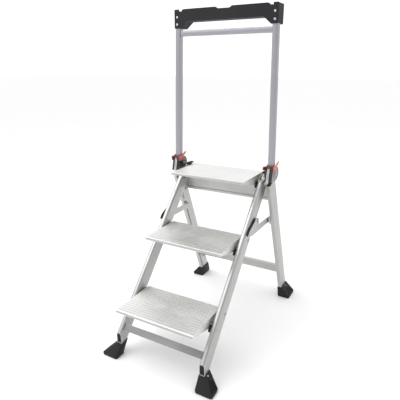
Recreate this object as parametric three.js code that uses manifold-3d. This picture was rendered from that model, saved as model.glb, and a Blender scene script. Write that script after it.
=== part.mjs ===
// A folding step stool with three treads, a splayed rear frame and a folding handrail with a tool tray.
// Millimetres. +X is the right-hand side, -Y the side it is climbed from, +Z up. The floor is z = 0.
import * as THREE from "three";
import { mergeVertices } from "three/addons/utils/BufferGeometryUtils.js";
import Module from "manifold-3d";

const wasm = await Module();
wasm.setup();

// ---- Driving dimensions -------------------------------------------------------------------------
const GAP = 0.3; // between pieces that touch
const TREAD_COUNT = 3;
const TREAD_RISE = 237;
const TREAD_DEPTH = 222;
const TREAD_HALF_WIDTH = 177.4;
const TREAD_NOSE = 12; // height of the front edge
const TREAD_SKIRT = 50; // height of the rear skirt and of the end plates behind
const RAIL_SLOPE = 0.89; // horizontal run of the front rails per unit of height
const LEG_SLOPE = 0.423; // horizontal run of the rear legs per unit of height
const RAIL_INNER_X = 186.5;
const RAIL_OUTER_X = 210;
const RAIL_DEPTH = 60;
const LEG_INNER_X = 229;
const LEG_OUTER_X = 247;
const LEG_DEPTH = 66.5;
const TUBE_WALL = 2;
const MAIN_PIVOT = { y: 133.4, z: 673.3 }; // where the rail and leg centre lines cross
const HANDRAIL_PIVOT = { y: 154, z: 719 };
const HANDRAIL_TOP = 1397;
const UPRIGHT_LEAN = 0.02; // each upright leans inwards by this much per unit of height
const UPRIGHT_BASE_Z = 738;
const UPRIGHT_OUTER_X = 246.9; // at its base
const UPRIGHT_WIDTH = 24;
const UPRIGHT_FRONT_Y = 124;
const UPRIGHT_DEPTH = 27.7;
const HALF_LENGTH = 452; // toe of the front feet to heel of the rear feet, halved

// ---- Plane geometry -----------------------------------------------------------------------------
const TURN = 2 * Math.PI;

/** Points along an arc, from one angle to another. */
function arc(cx, cy, radius, from, to, steps) {
  const points = [];
  for (let i = 0; i <= steps; i++) {
    const angle = from + ((to - from) * i) / steps;
    points.push([cx + radius * Math.cos(angle), cy + radius * Math.sin(angle)]);
  }
  return points;
}

function circle(cx, cy, radius, steps = 12) {
  return arc(cx, cy, radius, 0, TURN * (1 - 1 / steps), steps - 1);
}

/** A rectangle whose corners are rounded, with one radius for low u and one for high u. */
function roundedBox(u0, u1, v0, v1, lowRadius, highRadius, steps = 3) {
  const quarter = Math.PI / 2;
  return [
    ...arc(u0 + lowRadius, v0 + lowRadius, lowRadius, 2 * quarter, 3 * quarter, steps),
    ...arc(u1 - highRadius, v0 + highRadius, highRadius, 3 * quarter, 4 * quarter, steps),
    ...arc(u1 - highRadius, v1 - highRadius, highRadius, 0, quarter, steps),
    ...arc(u0 + lowRadius, v1 - lowRadius, lowRadius, quarter, 2 * quarter, steps),
  ];
}

function rectangle(u0, u1, v0, v1) {
  return [[u0, v0], [u1, v0], [u1, v1], [u0, v1]];
}

/** The convex outline round a set of points, anticlockwise. */
function convexOutline(points) {
  const sorted = [...points].sort((a, b) => a[0] - b[0] || a[1] - b[1]);
  const cross = (o, a, b) => (a[0] - o[0]) * (b[1] - o[1]) - (a[1] - o[1]) * (b[0] - o[0]);
  const half = (list) => {
    const chain = [];
    for (const point of list) {
      while (chain.length > 1 && cross(chain.at(-2), chain.at(-1), point) <= 1e-9) chain.pop();
      chain.push(point);
    }
    return chain.slice(0, -1);
  };
  return [...half(sorted), ...half(sorted.reverse())];
}

/** The outline of a strap with a round end of its own radius at each of the given [y, z, radius]. */
function strap(...ends) {
  return convexOutline(ends.flatMap(([y, z, radius]) => circle(y, z, radius, 16)));
}

// ---- Solids -------------------------------------------------------------------------------------
function solidOf(geometry) {
  const bare = geometry.clone();
  bare.deleteAttribute("normal");
  bare.deleteAttribute("uv");
  const merged = mergeVertices(bare, 1e-4);
  return new wasm.Manifold(
    new wasm.Mesh({
      numProp: 3,
      vertProperties: new Float32Array(merged.attributes.position.array),
      triVerts: new Uint32Array(merged.index.array),
    }),
  );
}

function geometryOf(solid) {
  const mesh = solid.getMesh();
  const geometry = new THREE.BufferGeometry();
  geometry.setAttribute("position", new THREE.BufferAttribute(new Float32Array(mesh.vertProperties), 3));
  geometry.setIndex(new THREE.BufferAttribute(new Uint32Array(mesh.triVerts), 1));
  const flat = geometry.toNonIndexed();
  flat.computeVertexNormals();
  return flat;
}

const union = (first, ...others) => others.reduce((sum, other) => sum.add(other), first);
const cut = (first, ...others) => others.reduce((left, other) => left.subtract(other), first);

/** Extrudes an outline in local (u, v) from w0 to w1, then places the local axes by a matrix. */
function extruded(outline, w0, w1, matrix, holes = []) {
  const shape = new THREE.Shape(outline.map(([u, v]) => new THREE.Vector2(u, v)));
  for (const hole of holes) {
    shape.holes.push(new THREE.Path(hole.map(([u, v]) => new THREE.Vector2(u, v))));
  }
  const geometry = new THREE.ExtrudeGeometry(shape, { depth: w1 - w0, bevelEnabled: false });
  geometry.translate(0, 0, w0);
  geometry.applyMatrix4(matrix);
  return solidOf(geometry);
}

function axes(uAxis, vAxis, wAxis, origin = [0, 0, 0]) {
  return new THREE.Matrix4()
    .makeBasis(new THREE.Vector3(...uAxis), new THREE.Vector3(...vAxis), new THREE.Vector3(...wAxis))
    .setPosition(...origin);
}

const SIDE_VIEW = axes([0, 1, 0], [0, 0, 1], [1, 0, 0]); // (y, z) outline extruded along X
const FRONT_VIEW = axes([1, 0, 0], [0, 0, 1], [0, -1, 0]); // (x, z) outline extruded towards -Y
const TOP_VIEW = new THREE.Matrix4(); // (x, y) outline extruded along Z

/** A (y, z) outline from x0 to x1. */
const plateAcross = (outline, x0, x1, holes) => extruded(outline, x0, x1, SIDE_VIEW, holes);

/** An (x, z) outline from y0 back to y1. */
const plateUpright = (outline, y0, y1) => extruded(outline, -y1, -y0, FRONT_VIEW);

function block(x0, x1, y0, y1, z0, z1) {
  return extruded(rectangle(x0, x1, y0, y1), z0, z1, TOP_VIEW);
}

/** A round pin along X. */
const pinAcross = (y, z, radius, x0, x1, steps = 12) => plateAcross(circle(y, z, radius, steps), x0, x1);

/** A convex solid between two loops of the same number of corners, listed anticlockwise from above. */
function loft(lower, upper) {
  const count = lower.length;
  const positions = [...lower, ...upper].flat();
  const index = [];
  for (let i = 0; i < count; i++) {
    const next = (i + 1) % count;
    index.push(i, next, count + next, i, count + next, count + i);
  }
  for (let i = 1; i < count - 1; i++) {
    index.push(0, i + 1, i);
    index.push(count, count + i, count + i + 1);
  }
  const geometry = new THREE.BufferGeometry();
  geometry.setAttribute("position", new THREE.Float32BufferAttribute(positions, 3));
  geometry.setIndex(index);
  return solidOf(geometry);
}

/** A bevelled rivet head that stands on the face at x and grows outwards by its height. */
function domedHead(y, z, radius, x, height) {
  const loop = (size, level) => circle(0, 0, size).map(([u, v]) => [level, y + u, z + v]);
  return loft(loop(radius, x), loop(radius * 0.62, x + height));
}

// ---- The two frames, each seen from the main pivot --------------------------------------------------
/** A bar's own axes: along it from the main pivot downwards, and square to it towards the rear. */
function barFrame(downY, downZ) {
  const length = Math.hypot(downY, downZ);
  const down = [downY / length, downZ / length];
  const rear = [-down[1], down[0]];
  return {
    matrix: axes([0, ...rear], [1, 0, 0], [0, ...down], [0, MAIN_PIVOT.y, MAIN_PIVOT.z]),
    sideMatrix: axes([0, ...down], [0, ...rear], [1, 0, 0], [0, MAIN_PIVOT.y, MAIN_PIVOT.z]),
    at: (along, across) => [
      MAIN_PIVOT.y + along * down[0] + across * rear[0],
      MAIN_PIVOT.z + along * down[1] + across * rear[1],
    ],
    alongAtHeight: (z) => (z - MAIN_PIVOT.z) / down[1],
  };
}

const RAIL = barFrame(-RAIL_SLOPE, -1);
const LEG = barFrame(LEG_SLOPE, -1);
const RAIL_TOP_Z = 684; // the rails are cut off level here
const LEG_TOP = -12;

// The treads hang on pivots that are a set distance from each tread's front edge.
const TREAD_PIVOT = { back: 200, down: 10 };
const TREAD_STOP = { back: 127, down: 40 };
const TREAD_RUN = RAIL_SLOPE * TREAD_RISE;
const MIDDLE_TREAD_FRONT_Y = -232.8;

/** The front top edge of a tread, counted from 1 at the bottom. */
function treadFront(number) {
  return { y: MIDDLE_TREAD_FRONT_Y + (number - 2) * TREAD_RUN, z: number * TREAD_RISE };
}

function onTread(number, point) {
  const front = treadFront(number);
  return [front.y + point.back, front.z - point.down];
}

const SPREADER_PIVOT = [-12, 508];
const SLIDER_ALONG = 190.5; // where the slider stands on the leg when the stool is open
const SLOT_ACROSS = -22.6; // the slot's centre line on the leg
const SLIDER_PIN = LEG.at(SLIDER_ALONG, SLOT_ACROSS);

const PIN_RADIUS = 5;
const HOLE_RADIUS = 5.4;
const MAIN_PIN_RADIUS = 5.7;
const MAIN_HOLE_RADIUS = 6.1;

// ---- Front frame --------------------------------------------------------------------------------
const RAIL_GROOVE = { across: -13, halfWidth: 1.6, depth: 1.1 };
const RAIL_CUT_TOP = { y: -414, z: 108 };
const RAIL_CUT_FOOT = { y: -412, z: 45 };
const RAIL_END_Z = 24;
const RAIL_SLUG_Z = 57; // the tube is solid below this height

function railOutline(growth) {
  const half = RAIL_DEPTH / 2 + growth;
  return roundedBox(-half, half, RAIL_INNER_X - growth, RAIL_OUTER_X + growth, 9, 4);
}

/** The wedge in front of the slanted cut at a rail's lower end, moved towards the rear by a shift. */
function railCutWedge(shift) {
  const slope = (RAIL_CUT_FOOT.y - RAIL_CUT_TOP.y) / (RAIL_CUT_FOOT.z - RAIL_CUT_TOP.z);
  const lineAt = (z) => RAIL_CUT_TOP.y + slope * (z - RAIL_CUT_TOP.z) + shift;
  const low = -60;
  const high = 160;
  const outline = [
    [lineAt(low) - 200, low], [lineAt(low), low], [lineAt(high), high], [lineAt(high) - 200, high],
  ];
  return plateAcross(outline, RAIL_INNER_X - 20, RAIL_OUTER_X + 20);
}

function railEnvelope(growth) {
  const bar = extruded(railOutline(growth), RAIL.alongAtHeight(760), RAIL.alongAtHeight(-60), RAIL.matrix);
  const belowEnd = block(0, 400, -800, 0, -120, RAIL_END_Z - growth);
  const aboveTop = block(0, 400, -100, 400, RAIL_TOP_Z + growth, 900);
  return cut(bar, belowEnd, aboveTop, railCutWedge(-growth));
}

function railBore(inset) {
  const half = RAIL_DEPTH / 2 - TUBE_WALL - inset;
  const outline = roundedBox(
    -half, half, RAIL_INNER_X + TUBE_WALL + inset, RAIL_OUTER_X - TUBE_WALL - inset, 7, 2,
  );
  const bar = extruded(outline, RAIL.alongAtHeight(770), RAIL.alongAtHeight(-60), RAIL.matrix);
  return cut(bar, block(0, 400, -800, 0, -120, RAIL_SLUG_Z + inset));
}

function railGroove(x, outwards) {
  const { across, halfWidth, depth } = RAIL_GROOVE;
  const surface = x + outwards;
  const outline = [
    [across - halfWidth, surface],
    [across, x - outwards * depth],
    [across + halfWidth, surface],
  ];
  const ordered = outwards > 0 ? outline : outline.reverse();
  return extruded(ordered.reverse(), RAIL.alongAtHeight(770), RAIL.alongAtHeight(-60), RAIL.matrix);
}

function frontRail() {
  let rail = cut(railEnvelope(0), railBore(0), railGroove(RAIL_OUTER_X, 1), railGroove(RAIL_INNER_X, -1));
  rail = cut(rail, pinAcross(MAIN_PIVOT.y, MAIN_PIVOT.z, MAIN_HOLE_RADIUS, 180, 215));
  for (let number = 1; number <= TREAD_COUNT; number++) {
    const [pivotY, pivotZ] = onTread(number, TREAD_PIVOT);
    if (number < TREAD_COUNT) rail = cut(rail, pinAcross(pivotY, pivotZ, HOLE_RADIUS, 180, 215));
    const [stopY, stopZ] = onTread(number, TREAD_STOP);
    rail = union(rail, domedHead(stopY, stopZ, 5.5, RAIL_OUTER_X - 0.5, 2.4));
  }
  return cut(rail, pinAcross(...SPREADER_PIVOT, HOLE_RADIUS, RAIL_OUTER_X - 5, 215));
}

/** The plastic insert that closes the slanted cut at a rail's lower end. */
function railPlug() {
  const slice = cut(railBore(GAP), railCutWedge(1.2));
  const behind = railCutWedge(16);
  return slice.intersect(behind);
}

const RAIL_CAP_LID = 4;
const BEARING_RADIUS = 11;

/** The cast bracket on a rail's top end, with the bearing that the top tread swings on. */
function railCap() {
  const lidBottom = RAIL_TOP_Z + GAP;
  const centreY = MAIN_PIVOT.y + RAIL_SLOPE * (RAIL_TOP_Z - MAIN_PIVOT.z);
  const halfRun = (RAIL_DEPTH / 2) * Math.hypot(1, RAIL_SLOPE);
  const lidOutline = roundedBox(RAIL_INNER_X, RAIL_OUTER_X, centreY - halfRun, centreY + halfRun, 4, 4, 2);
  const lid = extruded(lidOutline, lidBottom, lidBottom + RAIL_CAP_LID, TOP_VIEW);
  const [pivotY, pivotZ] = onTread(TREAD_COUNT, TREAD_PIVOT);
  const bearingOutline = convexOutline([
    ...circle(pivotY, pivotZ, BEARING_RADIUS, 16), [centreY - 4, lidBottom + 1], [pivotY + 6, lidBottom + 1],
  ]);
  const bearing = plateAcross(bearingOutline, RAIL_INNER_X + 0.5, RAIL_OUTER_X - 1);
  return cut(union(lid, bearing), pinAcross(pivotY, pivotZ, HOLE_RADIUS, 180, 215));
}

const FOOT_CORNER = 7;
const FOOT_SOLE_HEIGHT = 11;
const FLUTE = { bottomZ: 13, topZ: 43, depth: 8.5, bottomHalf: 6.6, topHalf: 2.2 };

/** A level ring of a boot's outline, set in from its base. */
function bootRing(base, z, inset) {
  const outline = roundedBox(
    base.x0 + inset, base.x1 - inset, base.y0 + inset, base.y1 - inset, FOOT_CORNER, FOOT_CORNER, 2,
  );
  return outline.map(([x, y]) => [x, y, z]);
}

/** A flared boot: a chamfered sole, and sides that close in to a sloping rim round the tube. */
function boot(base, rim) {
  const rimRing = roundedBox(rim.x0, rim.x1, rim.y0, rim.y1, 4, 4, 2).map(([x, y]) => [
    x, y, rim.z0 + ((rim.z1 - rim.z0) * (y - rim.y0)) / (rim.y1 - rim.y0),
  ]);
  return union(
    loft(bootRing(base, 0, 1.5), bootRing(base, FOOT_SOLE_HEIGHT, 0)),
    loft(bootRing(base, FOOT_SOLE_HEIGHT - 0.5, 0), rimRing),
  );
}

/** The scooped flutes on a boot's outer side, which close in on one another towards the rim. */
function withFlutes(solid, base, rim) {
  const { bottomZ, topZ, depth, bottomHalf, topHalf } = FLUTE;
  const rise = Math.min(rim.z0, rim.z1) - FOOT_SOLE_HEIGHT;
  const faceAt = (z) => base.x1 + ((rim.x1 - base.x1) * (z - FOOT_SOLE_HEIGHT)) / rise;
  const baseMiddle = (base.y0 + base.y1) / 2;
  const rimMiddle = (rim.y0 + rim.y1) / 2;
  const pitch = (base.y1 - base.y0) / 3.9;
  const section = (y, z, half) => [
    [faceAt(z) + 4, y - half, z],
    [faceAt(z) + 4, y + half, z],
    [faceAt(z) - depth, y + half * 0.7, z],
    [faceAt(z) - depth, y - half * 0.7, z],
  ];
  let fluted = solid;
  for (const step of [-1, 0, 1]) {
    const lower = section(baseMiddle + step * pitch, bottomZ, bottomHalf);
    const upper = section(baseMiddle + (rimMiddle - baseMiddle) * 0.7 + step * pitch * 0.5, topZ, topHalf);
    fluted = cut(fluted, loft(lower, upper));
  }
  return fluted;
}

const FRONT_FOOT = {
  base: { x0: 186, x1: 261, y0: -HALF_LENGTH, y1: -396.5 },
  rim: { x0: RAIL_INNER_X - 3, x1: RAIL_OUTER_X + 3.5, y0: -415, y1: -373.5, z0: 51, z1: 58 },
};
const FRONT_FOOT_RIVET = [-399, 49];

function frontFoot() {
  const { base, rim } = FRONT_FOOT;
  const hollow = cut(boot(base, rim), railEnvelope(GAP));
  const [y, z] = FRONT_FOOT_RIVET;
  return cut(withFlutes(hollow, base, rim), pinAcross(y, z, 4.3, RAIL_OUTER_X, base.x1));
}

function frontFootRivet() {
  const [y, z] = FRONT_FOOT_RIVET;
  const shank = pinAcross(y, z, 4, RAIL_OUTER_X + GAP, RAIL_OUTER_X + 8);
  return union(shank, domedHead(y, z, 4, RAIL_OUTER_X + 7.5, 2.5));
}

/** The flat bar that ties the front rails together below the bottom tread. */
function frontCrossbar() {
  const along = RAIL.alongAtHeight(107);
  const half = RAIL_INNER_X - GAP;
  const outline = roundedBox(-24, -12, -half, half, 1.5, 1.5, 2);
  return extruded(outline, along - 14, along + 14, RAIL.matrix);
}

// ---- Treads -------------------------------------------------------------------------------------
const GROOVE_COUNT = 15;
const GROOVE = { depth: 1.1, width: 2.8, slope: 0.5 };
const DECK_THICKNESS = 5;
const PLAIN_FRONT = 14; // smooth strip behind the nose
const PLAIN_REAR = 10;

/** The grooved top surface from the rear edge to the front edge, relative to the front top edge. */
function groovedTop() {
  const pitch = (TREAD_DEPTH - PLAIN_FRONT - PLAIN_REAR) / (GROOVE_COUNT - 1);
  const { depth, width, slope } = GROOVE;
  const points = [[TREAD_DEPTH, 0]];
  for (let i = GROOVE_COUNT - 1; i >= 0; i--) {
    const middle = PLAIN_FRONT + i * pitch;
    points.push([middle + width / 2, 0], [middle + width / 2 - slope, -depth]);
    points.push([middle - width / 2 + slope, -depth], [middle - width / 2, 0]);
  }
  return [...points, [4, 0], [1.2, -1.2], [0, -4]];
}

function treadPanel(number) {
  const front = treadFront(number);
  const place = (points) => points.map(([y, z]) => [front.y + y, front.z + z]);
  const deck = place([
    ...groovedTop(),
    [0, -TREAD_NOSE + 1],
    [1, -TREAD_NOSE],
    [8, -TREAD_NOSE],
    [9, -DECK_THICKNESS],
    [TREAD_DEPTH - 4, -DECK_THICKNESS],
    [TREAD_DEPTH - 4, -TREAD_SKIRT + 4],
    [TREAD_DEPTH - 18, -TREAD_SKIRT + 4],
    [TREAD_DEPTH - 18, -TREAD_SKIRT],
    [TREAD_DEPTH, -TREAD_SKIRT],
  ].reverse());
  const end = place([
    [TREAD_DEPTH, -TREAD_SKIRT],
    [TREAD_DEPTH, -DECK_THICKNESS + 1],
    [1, -DECK_THICKNESS + 1],
    [1, -TREAD_NOSE],
    [8, -TREAD_NOSE],
    [165, -TREAD_SKIRT],
  ].reverse());
  const endPlate = 3.2;
  let tread = plateAcross(deck, -TREAD_HALF_WIDTH, TREAD_HALF_WIDTH);
  for (const [x0, x1] of [
    [-TREAD_HALF_WIDTH, -TREAD_HALF_WIDTH + endPlate],
    [TREAD_HALF_WIDTH - endPlate, TREAD_HALF_WIDTH],
  ]) {
    tread = union(tread, plateAcross(end, x0, x1));
  }
  for (const [back, drop] of [[70, 20], [130, 34]]) {
    const web = place(rectangle(back, back + 3, -drop, -DECK_THICKNESS + 1));
    tread = union(tread, plateAcross(web, -TREAD_HALF_WIDTH + 1, TREAD_HALF_WIDTH - 1));
  }
  return tread;
}

const BRACKET_INNER_X = TREAD_HALF_WIDTH + GAP;
const BRACKET_OUTER_X = RAIL_INNER_X - 0.6;

/** The bracket on a tread's end, with the pivot pin that turns in the rail. */
function treadBracket(number) {
  const [pivotY, pivotZ] = onTread(number, TREAD_PIVOT);
  const [endY, endZ] = onTread(number, { back: 156, down: 27 });
  const arm = plateAcross(strap([pivotY, pivotZ, 9.5], [endY, endZ, 8.5]), BRACKET_INNER_X, BRACKET_OUTER_X);
  const headX = RAIL_OUTER_X + GAP;
  const pin = pinAcross(pivotY, pivotZ, PIN_RADIUS, BRACKET_OUTER_X - 1, headX + 0.5);
  return union(arm, pin, domedHead(pivotY, pivotZ, 7, headX, 2));
}

/** The rubber-faced stop on the rail that the tread's end rests against. */
function treadStop(number) {
  const [y, z] = onTread(number, TREAD_STOP);
  const run = [8 * 0.665, 8 * 0.747];
  const outline = strap([y - run[0], z - run[1], 7.5], [y + run[0], z + run[1], 7.5]);
  return plateAcross(outline, TREAD_HALF_WIDTH + GAP, RAIL_INNER_X - GAP);
}

// ---- Spreaders ----------------------------------------------------------------------------------
const SPREADER_INNER_X = 213;
const SPREADER_OUTER_X = 217.6;
const SPREADER_END_Y = 170; // where the plastic end cap takes over
const SPREADER_BOTTOM_Z = 477.5;
const SPREADER_FRONT = [[-57, 492], [-50, 504], [-33, 516], [-10, 526], [9, 535], [22, 543]]; // front edge
const TONGUE_OUTER_X = 214.8; // the arm's thinner end, behind the cap

/** The sheet arm between a rail and the slider on a leg, with a broad plate over the rail. */
function spreaderArm() {
  const outline = [
    ...SPREADER_FRONT, [30, 546], [48, 541], [52, 517], [60, 508], [86, 504],
    [SPREADER_END_Y, 501.5], [SPREADER_END_Y, SPREADER_BOTTOM_Z], [-8, SPREADER_BOTTOM_Z], [-42, 489],
  ].reverse();
  const pivotHole = circle(...SPREADER_PIVOT, HOLE_RADIUS);
  const plate = plateAcross(outline, SPREADER_INNER_X, SPREADER_OUTER_X, [pivotHole]);
  const lipOutline = [[48, 541], [44, 542], [48, 517], [52, 517]];
  const lip = plateAcross(lipOutline, SPREADER_OUTER_X - 0.5, SPREADER_OUTER_X + 4);
  const ribOutline = [[60, 489], [SPREADER_END_Y, 487.5], [SPREADER_END_Y, 491.5], [60, 493]];
  const rib = plateAcross(ribOutline, SPREADER_OUTER_X - 0.5, SPREADER_OUTER_X + 0.6);
  const tongue = plateAcross(spreaderEnd(SPREADER_END_Y - 1, 11.4), SPREADER_INNER_X, TONGUE_OUTER_X);
  return union(plate, lip, rib, tongue);
}

/** The outline of a spreader's rear end, rounded about the slider's pin. */
function spreaderEnd(frontY, radius) {
  const [endY, endZ] = SLIDER_PIN;
  return [
    [frontY, endZ - radius], [endY + 2, endZ - radius], ...arc(endY + 2, endZ, radius, -1.2, 1.2, 5),
    [endY + 2, endZ + radius], [frontY, endZ + radius],
  ];
}

/** The plastic cap over the outside of a spreader's rear end. */
function spreaderCap() {
  return plateAcross(spreaderEnd(SPREADER_END_Y + GAP, 12.3), TONGUE_OUTER_X + GAP, SPREADER_OUTER_X + 0.4);
}

/** The plastic finger guard along a spreader's front edge. */
function spreaderGuard() {
  const inner = SPREADER_FRONT.map(([y, z]) => [y - 0.3, z + 0.5]);
  const outer = SPREADER_FRONT.map(([y, z]) => [y - 3.4, z + 2.9]);
  const outline = [...outer, ...inner.reverse()].reverse();
  return plateAcross(outline, SPREADER_INNER_X - GAP, SPREADER_OUTER_X + 1.8);
}

/** The headed pin a spreader turns on. */
function spreaderPin() {
  const [y, z] = SPREADER_PIVOT;
  return union(
    pinAcross(y, z, PIN_RADIUS, RAIL_OUTER_X - 4, SPREADER_OUTER_X + 0.8),
    pinAcross(y, z, 8, RAIL_OUTER_X + GAP, SPREADER_INNER_X - GAP),
    domedHead(y, z, 8, SPREADER_OUTER_X + GAP, 2.4),
  );
}

/** The block that runs in the leg's slot and carries the spreader's rear end. */
function spreaderSlider() {
  const plateInner = SPREADER_OUTER_X + 1;
  const plateOuter = LEG_INNER_X - GAP;
  const outline = roundedBox(SLOT_ACROSS - 10, SLOT_ACROSS + 10, plateInner, plateOuter, 2, 2, 2);
  const plate = extruded(outline, SLIDER_ALONG - 17, SLIDER_ALONG + 17, LEG.matrix);
  const [pinY, pinZ] = SLIDER_PIN;
  return union(plate, pinAcross(pinY, pinZ, 2.1, plateOuter - 1, LEG_INNER_X + TUBE_WALL + 1.5));
}

// ---- Rear frame ---------------------------------------------------------------------------------
const LEG_END_Z = 22;
const SLOT_HALF_WIDTH = 2.6;

function legEnvelope(growth) {
  const half = LEG_DEPTH / 2 + growth;
  const outline = roundedBox(-half, half, LEG_INNER_X - growth, LEG_OUTER_X + growth, 3.5, 3.5, 3);
  const bar = extruded(outline, LEG_TOP, LEG.alongAtHeight(-40), LEG.matrix);
  return cut(bar, block(0, 400, 0, 800, -120, LEG_END_Z - growth));
}

function rearLeg() {
  const half = LEG_DEPTH / 2 - TUBE_WALL;
  const bore = extruded(
    roundedBox(-half, half, LEG_INNER_X + TUBE_WALL, LEG_OUTER_X - TUBE_WALL, 1.5, 1.5, 2),
    LEG_TOP - 10, LEG.alongAtHeight(-40), LEG.matrix,
  );
  const slotEnd = LEG.alongAtHeight(-40);
  const throughWall = [LEG_INNER_X - 3, LEG_INNER_X + TUBE_WALL + 1];
  const slotOutline = roundedBox(
    SLOT_ACROSS - SLOT_HALF_WIDTH, SLOT_ACROSS + SLOT_HALF_WIDTH, ...throughWall, 0.5, 0.5, 1,
  );
  const slot = extruded(slotOutline, SLIDER_ALONG - 10, slotEnd, LEG.matrix);
  const notchLine = [[116, -16], [124, -24], [133, -26.5], [149, -21.5]];
  const notchSide = (side) => notchLine.map(([along, across]) => LEG.at(along, across + side * 2.6));
  const notch = plateAcross([...notchSide(1), ...notchSide(-1).reverse()], ...throughWall);
  const grooveFloorX = LEG_OUTER_X - 0.9;
  const grooveOutline = [
    [-7, LEG_OUTER_X + 1], [-6, grooveFloorX], [-4.5, grooveFloorX], [-3.5, LEG_OUTER_X + 1],
  ].reverse();
  const outerGroove = extruded(grooveOutline, LEG_TOP - 10, LEG.alongAtHeight(-40), LEG.matrix);
  const pivotHole = pinAcross(MAIN_PIVOT.y, MAIN_PIVOT.z, MAIN_HOLE_RADIUS, 220, 260);
  return cut(legEnvelope(0), bore, slot, notch, outerGroove, pivotHole);
}

const REAR_FOOT = {
  base: { x0: 227, x1: 290, y0: 361, y1: HALF_LENGTH },
  rim: { x0: LEG_INNER_X - 3, x1: LEG_OUTER_X + 4.5, y0: 356.5, y1: 433, z0: 55, z1: 60 },
};
const REAR_FOOT_RIVET = [398, 51];

function rearFoot() {
  const { base, rim } = REAR_FOOT;
  const hollow = cut(boot(base, rim), legEnvelope(GAP));
  const [y, z] = REAR_FOOT_RIVET;
  return cut(withFlutes(hollow, base, rim), pinAcross(y, z, 4.3, LEG_OUTER_X, base.x1));
}

function rearFootRivet() {
  const [y, z] = REAR_FOOT_RIVET;
  const shank = pinAcross(y, z, 4, LEG_OUTER_X + GAP, LEG_OUTER_X + 8);
  return union(shank, domedHead(y, z, 4, LEG_OUTER_X + 7.5, 2.5));
}

const TIE = { front: 31, rear: 41, wall: 3, tabFront: 12 };
const TIE_GROOVE = { halfWidth: 2.5, depth: 2.1 };

/** A channel between the rear legs, just behind the front rails' plane, with end tabs on the legs. */
function rearTie(top, bottom, grooveAlong) {
  const { front, rear, wall, tabFront } = TIE;
  const half = LEG_INNER_X - GAP;
  const profile = [
    [top, front], [top, rear], [top + wall, rear], [top + wall, front + wall],
    [bottom - wall, front + wall], [bottom - wall, rear], [bottom, rear], [bottom, front],
  ];
  let tie = extruded(profile.reverse(), -half, half, LEG.sideMatrix);
  for (const outer of [half - 0.5, -half + 0.5 + wall]) {
    const tab = rectangle(top + 6, bottom - 6, tabFront, front + 1);
    tie = union(tie, extruded(tab, outer - wall, outer, LEG.sideMatrix));
  }
  if (grooveAlong) {
    const { halfWidth, depth } = TIE_GROOVE;
    const groove = rectangle(grooveAlong - halfWidth, grooveAlong + halfWidth, front - 1, front + depth);
    tie = cut(tie, extruded(groove, -half - 1, half + 1, LEG.sideMatrix));
  }
  return tie;
}

/** The pin that joins a rail to a leg. */
function mainPivotPin() {
  const { y, z } = MAIN_PIVOT;
  return union(
    pinAcross(y, z, MAIN_PIN_RADIUS, RAIL_INNER_X, LEG_OUTER_X + 0.9),
    pinAcross(y, z, 9, RAIL_OUTER_X + GAP, LEG_INNER_X - GAP),
    pinAcross(y, z, 7.5, LEG_OUTER_X + GAP, LEG_OUTER_X + 1.1),
  );
}

// ---- Handrail hinge -------------------------------------------------------------------------------
const HOUSING_INNER_X = 219;
const HOUSING_OUTER_X = 251.7;
const HOUSING_CHEEK = 3.4;
const HOUSING_DISC = 31;
const HOUSING_FRONT = { lowY: 100, lowZ: 688, highY: 112, highZ: 743 }; // its sloping front edge

function housingOutline() {
  const { y, z } = HANDRAIL_PIVOT;
  const { lowY, lowZ, highY, highZ } = HOUSING_FRONT;
  return convexOutline([
    ...circle(y, z, HOUSING_DISC, 24),
    [lowY, lowZ],
    [lowY + 7, lowZ - 2],
    [highY, highZ],
    [highY + 6, highZ + 0.5],
  ]);
}

/** The moulded fork on a leg's top that the upright folds in. */
function hingeHousing() {
  const { y, z } = HANDRAIL_PIVOT;
  const outline = housingOutline();
  const webRearY = UPRIGHT_FRONT_Y - 1.5;
  const { lowY, lowZ, highY, highZ } = HOUSING_FRONT;
  const webOutline = [
    [lowY + 0.8, lowZ + 2], [lowY + 7, lowZ + 0.5], [lowY + 10, lowZ + 12], [lowY + 14, lowZ + 28],
    [webRearY, lowZ + 36], [webRearY, highZ - 4], [highY - 0.5, highZ - 4],
  ];
  const body = union(
    plateAcross(outline, HOUSING_INNER_X, HOUSING_INNER_X + HOUSING_CHEEK),
    plateAcross(outline, HOUSING_OUTER_X - HOUSING_CHEEK, HOUSING_OUTER_X),
    plateAcross(webOutline, HOUSING_INNER_X + 1, HOUSING_OUTER_X - 1),
  );
  const raisedRing = (x0, x1) => plateAcross(circle(y, z, 28, 20), x0, x1, [circle(y, z, 19, 16)]);
  return cut(
    union(body, raisedRing(HOUSING_OUTER_X - 1, HOUSING_OUTER_X + 0.8)),
    pinAcross(y, z, HOLE_RADIUS, 200, 260),
    pinAcross(LEVER_PIVOT.y, LEVER_PIVOT.z, 3.1, HOUSING_INNER_X - 1, HOUSING_INNER_X + 4),
    pinAcross(LEVER_PIVOT.y, LEVER_PIVOT.z, 3.1, HOUSING_OUTER_X - 4, HOUSING_OUTER_X + 1),
    pinAcross(MAIN_PIVOT.y, MAIN_PIVOT.z, 9.6, 200, 260),
    legEnvelope(GAP),
  );
}

const STRIP_X = 232.5; // its middle, nearer to the housing's inner side

/** The bright channel strip down the front of a hinge housing. */
function housingStrip() {
  const { lowY, lowZ, highY, highZ } = HOUSING_FRONT;
  const slope = (highY - lowY) / (highZ - lowZ);
  const frontAt = (z) => lowY + slope * (z - lowZ) - GAP;
  const bottom = lowZ - 2;
  const top = highZ + 4.3;
  const bar = (front, rear, z0, z1) => [
    [frontAt(z0) - front, z0], [frontAt(z0) - rear, z0], [frontAt(z1) - rear, z1], [frontAt(z1) - front, z1],
  ];
  const strip = plateAcross(bar(5.2, 0.1, bottom, top), STRIP_X - 5.5, STRIP_X + 5.5);
  const groove = plateAcross(bar(9, 3.4, bottom - 5, top + 5), STRIP_X - 1.5, STRIP_X + 1.5);
  return cut(strip, groove);
}

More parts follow.
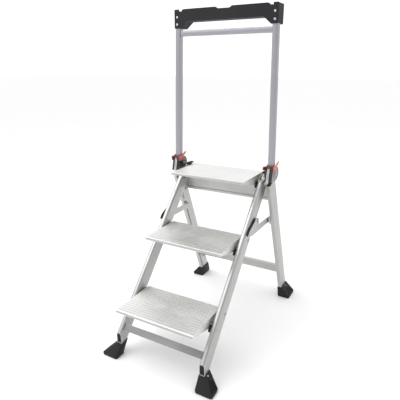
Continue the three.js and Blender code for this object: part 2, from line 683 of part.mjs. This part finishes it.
const LEVER_PIVOT = { y: 112, z: 738 };
const LEVER_CHEEK = 2.6;

/** The sprung yoke that locks the upright: a prong each side of it, a bar between, and an inner knob. */
function latchLever() {
  const prong = [
    [104, 738], [116, 738], [126, 742.5], [146, 751], [166, 761], [173, 768], [169, 772],
    [150, 764.5], [130, 757], [117, 754.5], [104, 754.5],
  ];
  const cheek = LEVER_CHEEK;
  const innerX = HOUSING_INNER_X - GAP - cheek;
  const outerX = HOUSING_OUTER_X + 1.1 + GAP;
  const { y, z } = LEVER_PIVOT;
  return union(
    plateAcross(prong, innerX, innerX + cheek),
    plateAcross(prong, outerX, outerX + cheek),
    plateAcross(rectangle(106, 115, 748, 754), innerX + 1, outerX + cheek - 1),
    plateAcross(strap([95, 749, 7.5], [112, 747, 8]), innerX - 3, innerX + cheek - 0.3),
    pinAcross(y, z, 5, innerX, innerX + cheek),
    pinAcross(y, z, 5, outerX, outerX + cheek),
    pinAcross(y, z, 2.6, innerX + 1, HOUSING_INNER_X + 3),
    pinAcross(y, z, 2.6, HOUSING_OUTER_X - 3, outerX + 1),
  );
}

// ---- Handrail -----------------------------------------------------------------------------------
/** How far an upright has leant inwards at a height. */
const leanAt = (z) => UPRIGHT_LEAN * (z - UPRIGHT_BASE_Z);
const UPRIGHT_TOP = HANDRAIL_TOP - 12;

/** Leans a solid inwards with the upright it belongs to. */
function leant(solid) {
  const shear = new THREE.Matrix4().set(
    1, 0, -UPRIGHT_LEAN, UPRIGHT_LEAN * UPRIGHT_BASE_Z,
    0, 1, 0, 0,
    0, 0, 1, 0,
    0, 0, 0, 1,
  );
  return solidOf(geometryOf(solid).applyMatrix4(shear));
}

function uprightSection(inset) {
  const outer = UPRIGHT_OUTER_X - inset;
  const inner = UPRIGHT_OUTER_X - UPRIGHT_WIDTH + inset;
  const front = UPRIGHT_FRONT_Y + inset;
  const rear = UPRIGHT_FRONT_Y + UPRIGHT_DEPTH - inset;
  const radius = Math.max(3 - inset, 1);
  return roundedBox(inner, outer, front, rear, radius, radius, 2);
}

function upright() {
  const { y, z } = HANDRAIL_PIVOT;
  const wall = 1.8;
  const tube = leant(
    cut(
      extruded(uprightSection(0), UPRIGHT_BASE_Z, UPRIGHT_TOP, TOP_VIEW),
      extruded(uprightSection(wall), UPRIGHT_BASE_Z + 12, UPRIGHT_TOP + 10, TOP_VIEW),
    ),
  );
  const knuckleOutline = convexOutline([
    ...circle(y, z, 14.5, 16),
    [UPRIGHT_FRONT_Y, UPRIGHT_BASE_Z + 4],
    [UPRIGHT_FRONT_Y + UPRIGHT_DEPTH, UPRIGHT_BASE_Z + 4],
  ]);
  const innerX = UPRIGHT_OUTER_X - UPRIGHT_WIDTH + 0.3;
  const pin = union(
    pinAcross(y, z, PIN_RADIUS, HOUSING_INNER_X - 1.4, HOUSING_OUTER_X + 2),
    domedHead(y, z, 13, HOUSING_OUTER_X + GAP, 2.8),
    pinAcross(y, z, 8, HOUSING_INNER_X - 1.6, HOUSING_INNER_X - GAP),
  );
  return union(tube, plateAcross(knuckleOutline, innerX, UPRIGHT_OUTER_X - 0.2), pin);
}

const CROSSBAR_Z = 1300;
const CROSSBAR_HEIGHT = 24;
function handrailCrossbar() {
  const reach = UPRIGHT_OUTER_X - UPRIGHT_WIDTH - leanAt(CROSSBAR_Z - CROSSBAR_HEIGHT / 2) - 0.8;
  const half = CROSSBAR_HEIGHT / 2;
  const section = roundedBox(
    UPRIGHT_FRONT_Y + 3, UPRIGHT_FRONT_Y + 13, CROSSBAR_Z - half, CROSSBAR_Z + half, 2, 2, 2,
  );
  return plateAcross(section, -reach, reach);
}

// ---- Tool tray ----------------------------------------------------------------------------------
const TRAY = { halfWidth: 237, frontY: 121, rearY: 178, bottomZ: 1321, wall: 2.6, endWall: 1.3 };

/** The tray's front outline, with a notch at the middle and one beside each raised end. */
function trayOutline(inset, endInset) {
  const top = HANDRAIL_TOP;
  const right = [
    [0, top - 7 - inset],
    [26, top - 7 - inset],
    [38, top - inset],
    [190, top - inset],
    [199, top - 3 - inset],
    [203, top - 12 - inset],
    [213, top - 12 - inset],
    [215, top - inset],
    [TRAY.halfWidth - 3 - endInset, top - inset],
    [TRAY.halfWidth - endInset, top - 3 - inset],
    [TRAY.halfWidth - endInset, TRAY.bottomZ + 2 + inset],
    [TRAY.halfWidth - 2 - endInset, TRAY.bottomZ + inset],
    [206 + inset * 0.4, TRAY.bottomZ + inset],
    [175 + inset * 0.4, 1348 + inset],
    [0, 1348 + inset],
  ];
  const left = right.slice(1, -1).map(([x, z]) => [-x, z]).reverse();
  return [...right, ...left].reverse();
}

function toolTray() {
  const shell = plateUpright(trayOutline(0, 0), TRAY.frontY, TRAY.rearY);
  const openTop = trayOutline(TRAY.wall, TRAY.endWall).map(([x, z]) => [x, z > 1370 ? z + 30 : z]);
  const trough = plateUpright(openTop, TRAY.frontY + TRAY.wall, TRAY.rearY - TRAY.wall);
  let tray = cut(shell, trough);
  for (const side of [-1, 1]) {
    const outer = side * (UPRIGHT_OUTER_X - leanAt(TRAY.bottomZ) + 0.35);
    const inner = side * (UPRIGHT_OUTER_X - UPRIGHT_WIDTH - leanAt(TRAY.bottomZ + 25) - 0.4);
    const x0 = Math.min(outer, inner);
    const x1 = Math.max(outer, inner);
    const y0 = UPRIGHT_FRONT_Y - GAP;
    const y1 = UPRIGHT_FRONT_Y + UPRIGHT_DEPTH + GAP;
    const throughBottom = block(x0, x1, y0, y1, TRAY.bottomZ - 11, TRAY.bottomZ + 24);
    tray = cut(tray, throughBottom);
    for (const z of TRAY_BOLT_Z) tray = cut(tray, boltAlong(side * boltX(z), z, 3.3));
  }
  return tray;
}
const TRAY_BOLT_Z = [1366, 1337];
const boltX = (z) => UPRIGHT_OUTER_X - UPRIGHT_WIDTH / 2 - leanAt(z);
const boltAlong = (x, z, radius) =>
  plateUpright(circle(x, z, radius), TRAY.frontY - 10, UPRIGHT_FRONT_Y - 0.2);

function trayBolt(z) {
  const x = boltX(z);
  return union(
    plateUpright(circle(x, z, 3), TRAY.frontY - 1, UPRIGHT_FRONT_Y - GAP),
    plateUpright(circle(x, z, 4.8), TRAY.frontY - 2.2, TRAY.frontY - GAP),
  );
}

// ---- Assembly -----------------------------------------------------------------------------------
const COLOURS = {
  aluminium: 0xd8d8d2,
  bright: 0xe6e6e4,
  anodised: 0xb8b6be,
  plastic: 0x2c2a2d,
  tray: 0x38373b,
  lever: 0xd9543c,
  steel: 0xbfc0c4,
};

const stool = new THREE.Group();
stool.name = "step_stool";

function addPiece(name, solid, colour) {
  const material = new THREE.MeshStandardMaterial({ color: COLOURS[colour], metalness: 0.4, roughness: 0.5 });
  const mesh = new THREE.Mesh(geometryOf(solid), material);
  mesh.name = name;
  stool.add(mesh);
}

/** Adds a right-hand piece and its mirror image on the left. */
function addPair(name, solid, colour) {
  addPiece(name + "_right", solid, colour);
  addPiece(name + "_left", solid.mirror([1, 0, 0]), colour);
}

addPair("front_rail", frontRail(), "bright");
addPair("rail_plug", railPlug(), "plastic");
addPair("rail_cap", railCap(), "plastic");
addPair("front_foot", frontFoot(), "plastic");
addPair("front_foot_rivet", frontFootRivet(), "steel");
addPiece("front_crossbar", frontCrossbar(), "aluminium");
for (let number = 1; number <= TREAD_COUNT; number++) {
  addPiece("tread_" + number, treadPanel(number), "aluminium");
  addPair("tread_" + number + "_bracket", treadBracket(number), "steel");
  addPair("tread_" + number + "_stop", treadStop(number), "plastic");
}
addPair("spreader_arm", spreaderArm(), "aluminium");
addPair("spreader_cap", spreaderCap(), "plastic");
addPair("spreader_guard", spreaderGuard(), "plastic");
addPair("spreader_pivot_pin", spreaderPin(), "steel");
addPair("spreader_slider", spreaderSlider(), "steel");
addPair("main_pivot_pin", mainPivotPin(), "steel");
addPair("rear_leg", rearLeg(), "aluminium");
addPair("rear_foot", rearFoot(), "plastic");
addPair("rear_foot_rivet", rearFootRivet(), "steel");
addPiece("rear_top_tie", rearTie(42, 121, 105), "aluminium");
addPiece("rear_lower_tie", rearTie(560, 616, 0), "aluminium");
addPair("hinge_housing", hingeHousing(), "plastic");
addPair("housing_strip", housingStrip(), "steel");
addPair("latch_lever", latchLever(), "lever");
addPair("handrail_upright", upright(), "anodised");
addPiece("handrail_crossbar", handrailCrossbar(), "anodised");
addPiece("tool_tray", toolTray(), "tray");
TRAY_BOLT_Z.forEach((z, i) => addPair("tray_bolt_" + (i + 1), trayBolt(z), "steel"));

export default stool;
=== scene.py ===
"""The looks of the folding step stool: materials, softened edges, moulded details, floor, light and camera.

Metres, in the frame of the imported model: +X is the stool's right-hand side, -Y its front, +Z up."""

import math

import bpy
from mathutils import Euler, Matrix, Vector


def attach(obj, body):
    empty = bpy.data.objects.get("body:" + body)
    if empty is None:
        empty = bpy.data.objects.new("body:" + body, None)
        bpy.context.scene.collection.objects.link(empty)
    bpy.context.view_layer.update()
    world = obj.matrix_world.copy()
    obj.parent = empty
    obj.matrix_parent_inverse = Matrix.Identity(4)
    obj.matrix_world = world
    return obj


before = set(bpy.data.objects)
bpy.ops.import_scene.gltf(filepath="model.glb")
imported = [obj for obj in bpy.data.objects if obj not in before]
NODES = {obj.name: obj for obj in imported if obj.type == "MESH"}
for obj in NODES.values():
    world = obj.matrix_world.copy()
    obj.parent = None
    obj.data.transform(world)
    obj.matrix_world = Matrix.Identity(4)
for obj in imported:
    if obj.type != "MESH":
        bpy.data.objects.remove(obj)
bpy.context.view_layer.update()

MM = 0.001

# ---- The lines that the parts run along ------------------------------------------------------------
RAIL_ANGLE = math.atan(0.89)  # of the front rails from upright, leaning back towards the top
LEG_ANGLE = math.atan(-0.423)  # of the rear legs
UPRIGHT = 0.0
ACROSS = None  # grain that runs along X

SIDES = ("right", "left")


def pair(name):
    """The names of a right-hand piece and its mirror image."""
    return [f"{name}_{side}" for side in SIDES]


# ---- Node helpers ---------------------------------------------------------------------------------
class Shader:
    """A material under construction, with short ways to add and join nodes."""

    def __init__(self, name):
        self.material = bpy.data.materials.new(name)
        self.material.use_nodes = True
        self.tree = self.material.node_tree
        self.surface = self.tree.nodes["Principled BSDF"]

    def node(self, kind, inputs=(), **settings):
        """A node with its settings, its inputs given by name or index as a value or another node's output."""
        made = self.tree.nodes.new(kind)
        for key, value in settings.items():
            setattr(made, key, value)
        for socket, value in dict(inputs).items():
            if isinstance(value, bpy.types.NodeSocket):
                self.tree.links.new(value, made.inputs[socket])
            else:
                made.inputs[socket].default_value = value
        return made

    def place(self):
        """Where a point is on its piece, in the piece's own coordinates."""
        return self.node("ShaderNodeTexCoord").outputs["Object"]

    def facing_front(self):
        """A mask that is 1 on faces that look straight to the front, and 0 on all others."""
        normal = self.node("ShaderNodeTexCoord").outputs["Normal"]
        rearward = self.node("ShaderNodeSeparateXYZ", {0: normal}).outputs["Y"]
        return self.spread(rearward, -0.95, -0.8, 1, 0)

    def stretched(self, angle, fineness, length):
        """Coordinates that change quickly across a bar's grain and slowly along it."""
        turned = self.place()
        along = 2
        if angle is ACROSS:
            along = 0
        elif angle:
            turned = self.node(
                "ShaderNodeVectorRotate", {"Vector": turned, "Angle": angle}, rotation_type="X_AXIS"
            ).outputs["Vector"]
        scale = [fineness] * 3
        scale[along] = length
        return self.node("ShaderNodeMapping", {"Vector": turned, "Scale": scale}).outputs["Vector"]

    def noise(self, vector, scale, detail=3.0, roughness=0.55):
        """Smooth noise of 0 to 1 with no seed of its own, so it is the same each time."""
        made = self.node(
            "ShaderNodeTexNoise", {"Vector": vector, "Scale": scale, "Detail": detail, "Roughness": roughness}
        )
        return made.outputs["Fac"]

    def spread(self, value, low, high, new_low, new_high):
        """Value from low..high mapped on to new_low..new_high, and clamped there."""
        made = self.node(
            "ShaderNodeMapRange",
            {"Value": value, "From Min": low, "From Max": high, "To Min": new_low, "To Max": new_high},
        )
        return made.outputs["Result"]

    def mixed(self, factor, first, second):
        """The first colour where the factor is 0 and the second where it is 1."""
        made = self.node("ShaderNodeMix", {"Factor": factor}, data_type="RGBA")
        for index, colour in ((6, first), (7, second)):
            if isinstance(colour, bpy.types.NodeSocket):
                self.tree.links.new(colour, made.inputs[index])
            else:
                made.inputs[index].default_value = (*colour, 1)
        return made.outputs[2]

    def maths(self, operation, first, second):
        return self.node("ShaderNodeMath", {0: first, 1: second}, operation=operation).outputs[0]

    def edges(self, radius, strength):
        """A mask that is 0 on flat faces and rises to 1 on outer edges, where it marks rubbing wear and a
        painted highlight.
        """
        rounded = self.node("ShaderNodeBevel", {"Radius": radius}, samples=4).outputs["Normal"]
        straight = self.node("ShaderNodeNewGeometry").outputs["Normal"]
        compared = self.node("ShaderNodeVectorMath", {0: rounded, 1: straight}, operation="DOT_PRODUCT")
        turned = self.maths("SUBTRACT", 1.0, compared.outputs["Value"])
        broken = self.spread(self.noise(self.place(), 140, 4), 0.35, 0.65, 0.35, 1.0)
        return self.spread(self.maths("MULTIPLY", turned, broken), 0.0, 0.22, 0.0, strength)

    def groove_occlusion(self, reach):
        """An occlusion mask that is 0 on open faces and rises to 1 down in narrow grooves, where it places
        painted shade.
        """
        shelter = self.node("ShaderNodeAmbientOcclusion", {"Distance": reach}, only_local=True, samples=8)
        return self.spread(shelter.outputs["AO"], 0.35, 0.85, 1, 0)

    def bump(self, height, strength, distance, under=None):
        inputs = {"Height": height, "Strength": strength, "Distance": distance}
        if under is not None:
            inputs["Normal"] = under
        return self.node("ShaderNodeBump", inputs).outputs["Normal"]

    def finish(self, colour, roughness, normal, **constants):
        """Joins the results to the surface and gives back the finished material."""
        links = self.tree.links
        links.new(colour, self.surface.inputs["Base Color"])
        links.new(roughness, self.surface.inputs["Roughness"])
        links.new(normal, self.surface.inputs["Normal"])
        for socket, value in constants.items():
            self.surface.inputs[socket.replace("_", " ")].default_value = value
        return self.material


def shade(colour, factor):
    """A colour made darker or lighter."""
    return tuple(min(1.0, channel * factor) for channel in colour)


# ---- Metals ---------------------------------------------------------------------------------------
def extruded_metal(name, colour, angle, roughness, metallic=0.85, grain=0.3, front_face_shade=1.0, groove_shade=0.0):
    """Satin extruded aluminium: drawn grain, a faint cloudy tone and paler edges, partly from rubbing wear and
    partly a painted highlight. Front faces can be given painted shade, and groove floors painted shade from an
    occlusion mask.
    """
    shader = Shader(name)
    drawn = shader.noise(shader.stretched(angle, 900, 9), 1.0, 4, 0.6)
    die_lines = shader.noise(shader.stretched(angle, 160, 1.2), 1.0, 2, 0.5)
    cloud = shader.noise(shader.place(), 9, 3)
    handled = shader.noise(shader.place(), 34, 4)
    worn_and_highlit = shader.edges(1.6 * MM, 0.8)
    base = shader.mixed(shader.spread(cloud, 0.3, 0.7, 0, 1), shade(colour, 0.955), shade(colour, 1.03))
    lined = shader.mixed(shader.spread(die_lines, 0.44, 0.6, 0.0, 0.28), base, shade(colour, 0.86))
    # Painted shade: faces that look straight to the front take a darker copy of the colour.
    front_shaded = shader.mixed(shader.facing_front(), lined, shade(colour, front_face_shade))
    # Paler edges: partly rubbing wear, partly a painted highlight.
    rubbed_and_highlit = shader.mixed(worn_and_highlit, front_shaded, shade(colour, 1.16))
    # Painted shade: groove floors near a wall are darkened towards 0.3 of the colour.
    if groove_shade:
        groove_shaded = shader.maths("MULTIPLY", shader.groove_occlusion(GROOVE_SHADE_REACH), groove_shade)
        rubbed_and_highlit = shader.mixed(groove_shaded, rubbed_and_highlit, shade(colour, 0.3))
    grainy = shader.spread(drawn, 0.3, 0.7, roughness - 0.06, roughness + 0.07)
    rough = shader.maths("ADD", grainy, shader.spread(handled, 0.42, 0.7, 0.0, 0.08))
    soft = shader.bump(die_lines, 0.25, 0.12 * MM)
    normal = shader.bump(drawn, grain, 0.05 * MM, soft)
    return shader.finish(rubbed_and_highlit, rough, normal, Metallic=metallic, Anisotropic=0.35)


def plated_metal(name, colour, roughness):
    """Zinc-plated steel: a mottled spangle whose cells darken towards their borders."""
    shader = Shader(name)
    spangle = shader.node("ShaderNodeTexVoronoi", {"Vector": shader.place(), "Scale": 420.0}).outputs["Distance"]
    cloud = shader.noise(shader.place(), 60, 4)
    worn_and_highlit = shader.edges(0.8 * MM, 0.7)
    base = shader.mixed(shader.spread(cloud, 0.3, 0.7, 0, 1), shade(colour, 0.84), shade(colour, 1.05))
    spotted = shader.mixed(shader.spread(spangle, 0.1, 0.7, 0.0, 0.3), base, shade(colour, 0.8))
    # Paler edges: partly rubbing wear, partly a painted highlight.
    rubbed_and_highlit = shader.mixed(worn_and_highlit, spotted, shade(colour, 1.35))
    rough = shader.spread(cloud, 0.3, 0.7, roughness - 0.07, roughness + 0.1)
    normal = shader.bump(shader.noise(shader.place(), 900, 3), 0.25, 0.04 * MM)
    return shader.finish(rubbed_and_highlit, rough, normal, Metallic=0.9)


# ---- Plastics -------------------------------------------------------------------------------------
def moulded_plastic(name, colour, roughness, texture=0.35, painted=None, edge_wear_and_highlight_tone=1.9, coat=0.0, shine=0.25):
    """Moulded plastic: spark-eroded grain, dusty variation and paler edges, partly scuffing and partly a painted
    highlight.
    """
    shader = Shader(name)
    grain = shader.noise(shader.place(), 1500, 3, 0.6)
    dusty = shader.noise(shader.place(), 28, 5)
    flow = shader.noise(shader.place(), 7, 2)
    worn_and_highlit = shader.edges(1.2 * MM, 0.55)
    base = shader.mixed(shader.spread(flow, 0.3, 0.7, 0, 1), shade(colour, 0.9), shade(colour, 1.1))
    if painted is not None:
        base = painted(shader, base)
    dusted = shader.mixed(shader.spread(dusty, 0.5, 0.75, 0.0, 0.35), base, shade(colour, 1.5))
    # Paler edges: partly rubbing wear, partly a painted highlight.
    rubbed_and_highlit = shader.mixed(worn_and_highlit, dusted, shade(colour, edge_wear_and_highlight_tone))
    rough = shader.spread(dusty, 0.3, 0.7, roughness - 0.08, roughness + 0.1)
    normal = shader.bump(grain, texture, 0.08 * MM)
    return shader.finish(
        rubbed_and_highlit, rough, normal, Metallic=0.0, Coat_Weight=coat, Coat_Roughness=0.12, Specular_IOR_Level=shine
    )


KNOB_REAR, ORANGE_FRONT = 100 * MM, 112 * MM
INNER_PRONG, OUTER_PRONG = 219.0 * MM, 252.8 * MM  # where each prong meets the bar between them
PAINT_BLEND = 0.2 * MM


def lever_colours(shader, orange):
    """Orange to the rear, dark red at the knob, and black on the bar between the two prongs."""
    place = shader.node("ShaderNodeSeparateXYZ", {0: shader.place()})
    rearward = shader.spread(place.outputs["Y"], KNOB_REAR, ORANGE_FRONT, 0, 1)
    warm = shader.mixed(rearward, DARK_RED, orange)
    sideways = shader.maths("ABSOLUTE", place.outputs["X"], 0.0)
    past_inner_prong = shader.spread(sideways, INNER_PRONG - PAINT_BLEND, INNER_PRONG + PAINT_BLEND, 0, 1)
    before_outer_prong = shader.spread(sideways, OUTER_PRONG - PAINT_BLEND, OUTER_PRONG + PAINT_BLEND, 1, 0)
    return shader.mixed(shader.maths("MULTIPLY", past_inner_prong, before_outer_prong), warm, BLACK)


# ---- Putting materials and soft edges on the parts --------------------------------------------------
def smoothing_group():
    """Geometry nodes that weld a part's split corners and shade it smooth."""
    group = bpy.data.node_groups.new("weld_and_smooth", "GeometryNodeTree")
    group.interface.new_socket("Geometry", in_out="INPUT", socket_type="NodeSocketGeometry")
    group.interface.new_socket("Geometry", in_out="OUTPUT", socket_type="NodeSocketGeometry")
    source = group.nodes.new("NodeGroupInput")
    bare = group.nodes.new("GeometryNodeRemoveAttribute")
    bare.inputs["Name"].default_value = "custom_normal"
    weld = group.nodes.new("GeometryNodeMergeByDistance")
    weld.inputs["Distance"].default_value = 0.002 * MM
    smooth = group.nodes.new("GeometryNodeSetShadeSmooth")
    result = group.nodes.new("NodeGroupOutput")
    for first, second in ((source, bare), (bare, weld), (weld, smooth), (smooth, result)):
        group.links.new(first.outputs["Geometry"], second.inputs["Geometry"])
    return group


SMOOTHING = smoothing_group()


def soften(part, radius, segments=2):
    """Welds a part and rounds its sharp edges by a small radius, without touching its mesh."""
    part.modifiers.new("smoothing", "NODES").node_group = SMOOTHING
    flat = part.modifiers.new("flat_faces", "DECIMATE")
    flat.decimate_type = "DISSOLVE"
    flat.angle_limit = math.radians(0.6)
    bevel = part.modifiers.new("soft_edges", "BEVEL")
    bevel.limit_method = "ANGLE"
    bevel.angle_limit = math.radians(34)
    bevel.width = radius
    bevel.segments = segments
    bevel.harden_normals = True
    bevel.use_clamp_overlap = True


def dress(names, material, radius):
    """Gives CAD parts a material and softened edges."""
    for name in names:
        part = NODES[name]
        part.data.materials.clear()
        part.data.materials.append(material)
        if radius:
            soften(part, radius)


TREADS = ["tread_1", "tread_2", "tread_3"]
TREAD_BRACKETS = [name for tread in TREADS for name in pair(tread + "_bracket")]
TREAD_STOPS = [name for tread in TREADS for name in pair(tread + "_stop")]

SATIN = (0.50, 0.50, 0.488)
# Painted shade: a darker copy of the satin aluminium for the crossbar in the shade under the bottom tread.
SHADED_SATIN = (0.31, 0.31, 0.315)
BRIGHT = (0.50, 0.50, 0.495)
# Painted light: paler than the other aluminium so the tread tops read as lit.
LIT_PALE = (0.80, 0.80, 0.785)
GROOVE_SHADE_REACH = 4 * MM  # how near a wall has to be for the painted shade to darken a groove floor
LAVENDER = (0.40, 0.392, 0.425)
BLACK = (0.014, 0.012, 0.015)
CHARCOAL = (0.018, 0.017, 0.020)
ZINC = (0.70, 0.70, 0.71)
OLIVE = (0.40, 0.385, 0.31)
RED = (0.80, 0.115, 0.050)
DARK_RED = (0.16, 0.010, 0.016)


def dress_all():
    """Every part in its material. The treads and rear ties aren't softened: it leaves dark streaks on them."""
    rail = extruded_metal("rail_aluminium", BRIGHT, RAIL_ANGLE, 0.34)
    leg = extruded_metal("leg_aluminium", SATIN, LEG_ANGLE, 0.36)
    # The treads: a paler base as painted light on their tops, with painted shade on their front faces and in
    # their grooves.
    tread = extruded_metal("tread_aluminium", LIT_PALE, ACROSS, 0.42, front_face_shade=0.62, groove_shade=0.85)
    sheet = extruded_metal("sheet_aluminium", SATIN, ACROSS, 0.38)
    # Painted shade: the crossbar takes the darker aluminium.
    crossbar = extruded_metal("crossbar_aluminium", SHADED_SATIN, ACROSS, 0.42)
    tube = extruded_metal("anodised_tube", LAVENDER, UPRIGHT, 0.40)
    black = moulded_plastic("black_plastic", BLACK, 0.55)
    tray = moulded_plastic("tray_plastic", CHARCOAL, 0.62, 0.5)
    glossy = moulded_plastic("glossy_black_plastic", BLACK, 0.30, 0.12, coat=1.0, shine=0.5)
    lever = moulded_plastic("lever_plastic", RED, 0.34, 0.15, lever_colours, 1.3, shine=0.4)
    zinc = plated_metal("zinc_steel", ZINC, 0.36)
    olive = plated_metal("bracket_steel", OLIVE, 0.48)
    dress(pair("front_rail"), rail, 0.5 * MM)
    dress(pair("rear_leg"), leg, 0.5 * MM)
    dress(TREADS, tread, 0)
    dress(["front_crossbar"], crossbar, 0.5 * MM)
    dress(["rear_top_tie", "rear_lower_tie"], sheet, 0)
    dress(pair("spreader_arm"), sheet, 0.4 * MM)
    dress([*pair("handrail_upright"), "handrail_crossbar"], tube, 0.4 * MM)
    dress([*pair("rail_plug"), *pair("spreader_cap"), *pair("spreader_guard")], black, 0.6 * MM)
    dress([*pair("front_foot"), *pair("rear_foot"), *TREAD_STOPS], black, 0.9 * MM)
    dress(pair("hinge_housing"), glossy, 0.9 * MM)
    dress(["tool_tray"], tray, 0.8 * MM)
    dress(pair("latch_lever"), lever, 0.8 * MM)
    dress(TREAD_BRACKETS, olive, 0.5 * MM)
    dress([*pair("front_foot_rivet"), *pair("rear_foot_rivet"), *pair("main_pivot_pin")], zinc, 0.4 * MM)
    dress([*pair("spreader_pivot_pin"), *pair("spreader_slider"), *pair("housing_strip")], zinc, 0.4 * MM)
    dress(pair("rail_cap"), sheet, 0.4 * MM)
    dress([*pair("tray_bolt_1"), *pair("tray_bolt_2")], zinc, 0.4 * MM)
    for sign in (1, -1):
        make_bumper(sign, black)


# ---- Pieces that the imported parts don't have ---------------------------------------------------------
BUMPER_FRONT, BUMPER_REAR = 148 * MM, 200 * MM
BUMPER_BOTTOM, BUMPER_TOP = 712.3 * MM, 720 * MM
BUMPER_INNER, BUMPER_OUTER = 188.5 * MM, 203 * MM
BUMPER_RAMP = 5 * MM  # how far the top stops short of each end
BUMPER_ROUNDING = 1.2 * MM


def make_bumper(sign, material):
    """The rubber buffer on top of a rail's cap: a low bar with ramped ends."""
    outline = [
        (BUMPER_FRONT, BUMPER_BOTTOM),
        (BUMPER_REAR, BUMPER_BOTTOM),
        (BUMPER_REAR, (BUMPER_BOTTOM + BUMPER_TOP) / 2),
        (BUMPER_REAR - BUMPER_RAMP, BUMPER_TOP),
        (BUMPER_FRONT + BUMPER_RAMP, BUMPER_TOP),
        (BUMPER_FRONT, (BUMPER_BOTTOM + BUMPER_TOP) / 2),
    ]
    low_x, high_x = sorted((sign * BUMPER_INNER, sign * BUMPER_OUTER))
    count = len(outline)
    corners = [(x, y, z) for x in (low_x, high_x) for y, z in outline]
    sides = [(i, (i + 1) % count, count + (i + 1) % count, count + i) for i in range(count)]
    faces = [tuple(reversed(range(count))), tuple(range(count, 2 * count)), *sides]
    side = "right" if sign > 0 else "left"
    mesh = bpy.data.meshes.new(f"rail_bumper_{side}")
    mesh.from_pydata(corners, [], faces)
    mesh.materials.append(material)
    bumper = bpy.data.objects.new(f"rail_bumper_{side}", mesh)
    bpy.context.scene.collection.objects.link(bumper)
    rounding = bumper.modifiers.new("soft_edges", "BEVEL")
    rounding.width = BUMPER_ROUNDING
    rounding.segments = 3
    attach(bumper, "front_frame")


# ---- Floor, light and camera ------------------------------------------------------------------------
FLOOR_HALF = 60.0  # far enough that its edge lies near the horizon
FLOOR_DULL, FLOOR_CLEAN = (0.955, 0.955, 0.955), (0.975, 0.975, 0.975)


def make_floor():
    """A plain pale floor with a faint cloudy tone."""
    half = FLOOR_HALF
    mesh = bpy.data.meshes.new("floor")
    corners = [(-half, -half, 0), (half, -half, 0), (half, half, 0), (-half, half, 0)]
    mesh.from_pydata(corners, [], [(0, 1, 2, 3)])
    floor = bpy.data.objects.new("floor", mesh)
    bpy.context.scene.collection.objects.link(floor)
    shader = Shader("floor_paint")
    cloud = shader.noise(shader.place(), 3, 3)
    colour = shader.mixed(shader.spread(cloud, 0.3, 0.7, 0, 1), FLOOR_DULL, FLOOR_CLEAN)
    normal = shader.bump(shader.noise(shader.place(), 240, 3), 0.05, 0.2 * MM)
    mesh.materials.append(shader.finish(colour, shader.spread(cloud, 0.3, 0.7, 0.7, 0.8), normal))


SOFTBOX_PLACE = (-1.5, -1.3, 3.2)
SOFTBOX_SIZE = (3.2, 3.2)
SOFTBOX_WATTS = 62
STOOL_MIDDLE = (0, 0, 0.6)
BRIGHTEST_WAY = (-0.45, 0.80, 0.40)  # behind, to the left and above


def area_light(name, place, target, size, power):
    """A soft rectangular light that is turned towards its target."""
    light = bpy.data.lights.new(name, "AREA")
    light.shape = "RECTANGLE"
    light.size, light.size_y = size
    light.energy = power
    holder = bpy.data.objects.new(name, light)
    holder.location = place
    holder.rotation_euler = (Vector(target) - Vector(place)).to_track_quat("-Z", "Y").to_euler()
    bpy.context.scene.collection.objects.link(holder)


def make_world():
    """A white studio behind and above the stool that darkens towards the side it is seen from."""
    world = bpy.data.worlds.new("studio")
    world.use_nodes = True
    tree = world.node_tree
    background = tree.nodes["Background"]
    place = tree.nodes.new("ShaderNodeTexCoord")
    toward = tree.nodes.new("ShaderNodeVectorMath")
    toward.operation = "DOT_PRODUCT"
    toward.inputs[1].default_value = BRIGHTEST_WAY
    tree.links.new(place.outputs["Generated"], toward.inputs[0])
    ramp = tree.nodes.new("ShaderNodeMapRange")
    for socket, value in (("From Min", -0.75), ("From Max", 0.35), ("To Min", 0.50), ("To Max", 1.15)):
        ramp.inputs[socket].default_value = value
    tree.links.new(toward.outputs["Value"], ramp.inputs["Value"])
    tree.links.new(ramp.outputs["Result"], background.inputs["Strength"])
    background.inputs["Color"].default_value = (1.0, 1.0, 1.0, 1)
    bpy.context.scene.world = world


def make_light():
    make_world()
    area_light("top_softbox", SOFTBOX_PLACE, STOOL_MIDDLE, SOFTBOX_SIZE, SOFTBOX_WATTS)


def make_camera():
    """The photograph's view: a little above the stool, from the front and its right-hand side."""
    camera = bpy.data.objects.new("camera", bpy.data.cameras.new("camera"))
    camera.data.sensor_width = 36.0
    camera.data.lens = 36.93
    camera.location = (0.81283, -1.52253, 1.15204)
    camera.rotation_euler = Euler((math.radians(72.3), 0, math.radians(29.3)))
    bpy.context.scene.collection.objects.link(camera)
    bpy.context.scene.camera = camera


dress_all()
make_floor()
make_light()
make_camera()
bpy.context.scene.view_settings.view_transform = "Standard"

bpy.context.view_layer.update()
